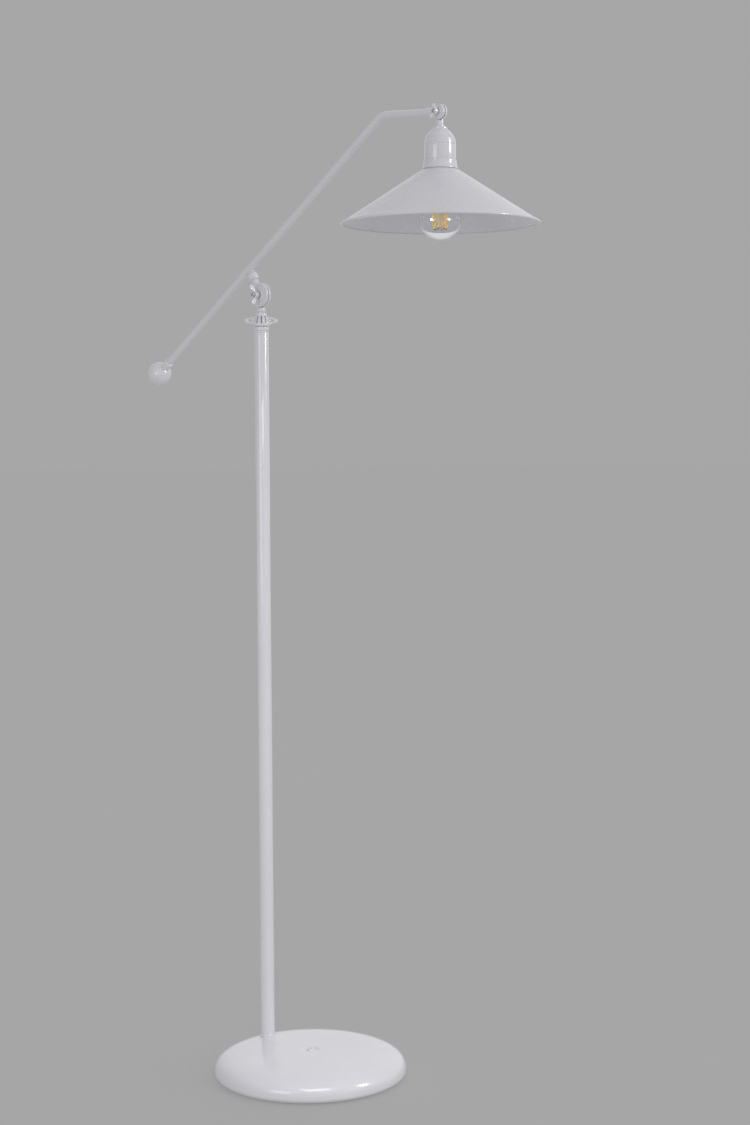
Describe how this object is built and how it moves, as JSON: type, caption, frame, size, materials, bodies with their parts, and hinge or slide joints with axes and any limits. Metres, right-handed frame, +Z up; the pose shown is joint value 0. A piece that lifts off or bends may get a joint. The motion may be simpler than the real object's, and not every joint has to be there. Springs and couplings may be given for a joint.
{
  "type": "adjustable arm floor lamp",
  "caption": "Floor lamp with a domed weighted base, an off-centre stem, a swivelling and tilting balanced arm, and a tilting cone shade over a clear globe bulb.",
  "frame": {"origin": "on the floor under the centre of the base", "axes": "+Z up, +X the way the arm reaches from the stem over the base, +Y to the left of someone facing +X"},
  "size_m": [0.8273, 0.3, 1.4753],
  "materials": {
    "white_paint": "gloss white enamel",
    "shade_paint": "gloss white enamel on spun aluminium",
    "iron": "as cast, black wash",
    "steel": "zinc plated",
    "rubber": "matt black",
    "nylon": "natural nylon",
    "porcelain": "glazed",
    "brass": "bright",
    "moulding": "white moulding",
    "glass": "clear",
    "cap_metal": "bright",
    "black_glass": "black glass",
    "phosphor": "yellow phosphor coat",
    "wire_cover": "soft cover on copper strands"
  },
  "bodies": {
    "base": {"base_cover": "white_paint", "base_weight": "iron", "bottom_plate": "steel", "floor_pad": "rubber", "plate_screws": "steel", "centre_screw": "white_paint", "centre_nut": "steel", "cable_grommet": "rubber", "foot_ferrule": "white_paint", "foot_plug": "steel", "foot_nipple": "steel", "foot_washer": "steel", "foot_nut": "steel", "stem_tube": "white_paint", "stem_hub": "white_paint", "swivel_bush": "nylon", "stem_wires": "wire_cover"},
    "ring_nut": {"crown_nut": "white_paint"},
    "swivel": {"lower_knuckle": "white_paint", "spigot_clip": "steel", "tilt_bolt": "steel", "swivel_wires": "wire_cover"},
    "tilt_nut": {"tilt_wing_nut": "white_paint"},
    "arm": {"upper_knuckle": "white_paint", "tilt_friction_washer": "nylon", "tilt_flat_washer": "steel", "arm_coupling": "white_paint", "arm_saddle": "white_paint", "arm_tube": "white_paint", "tail_collar": "white_paint", "tail_set_screw": "steel", "tail_stud": "steel", "counterweight_ball": "white_paint", "arm_end_disc": "white_paint", "head_friction_washer": "nylon", "head_flat_washer": "steel", "arm_wires": "wire_cover"},
    "head": {"head_disc": "white_paint", "head_bolt": "steel", "holder_cap": "white_paint", "cap_nut": "steel", "holder_body": "white_paint", "holder_core": "porcelain", "holder_screw_shell": "brass", "centre_contact": "brass", "holder_skirt": "moulding", "shade_collar": "white_paint", "shade": "shade_paint", "shade_ring": "moulding", "bulb_glass": "glass", "bulb_cap": "cap_metal", "bulb_tip_insulator": "black_glass", "bulb_tip_contact": "steel", "bulb_stem": "glass", "bulb_filaments": "phosphor", "bulb_lead_wires": "steel", "head_wires": "wire_cover"},
    "head_nut": {"head_wing_nut": "white_paint"}
  },
  "joints": [
    {"name": "ring_nut_turn", "type": "hinge", "parent": "base", "child": "ring_nut", "pos_m": [-0.104, 0, 1.176], "axis": [0, 0, 1], "range_deg": [-90, 20]},
    {"name": "arm_swivel", "type": "hinge", "parent": "base", "child": "swivel", "pos_m": [-0.104, 0, 1.176], "axis": [0, 0, 1], "range_deg": [-160, 160]},
    {"name": "tilt_nut_turn", "type": "hinge", "parent": "swivel", "child": "tilt_nut", "pos_m": [-0.104, 0, 1.225], "axis": [0, -1, 0], "range_deg": [-20, 180]},
    {"name": "arm_tilt", "type": "hinge", "parent": "swivel", "child": "arm", "pos_m": [-0.104, 0, 1.225], "axis": [0, -1, 0], "range_deg": [-60, 30]},
    {"name": "head_tilt", "type": "hinge", "parent": "arm", "child": "head", "pos_m": [0.2951, 0, 1.46073], "axis": [0, -1, 0], "range_deg": [-25, 75]},
    {"name": "head_nut_turn", "type": "hinge", "parent": "head", "child": "head_nut", "pos_m": [0.2951, 0, 1.46073], "axis": [0, -1, 0], "range_deg": [-20, 180]}
  ]
}
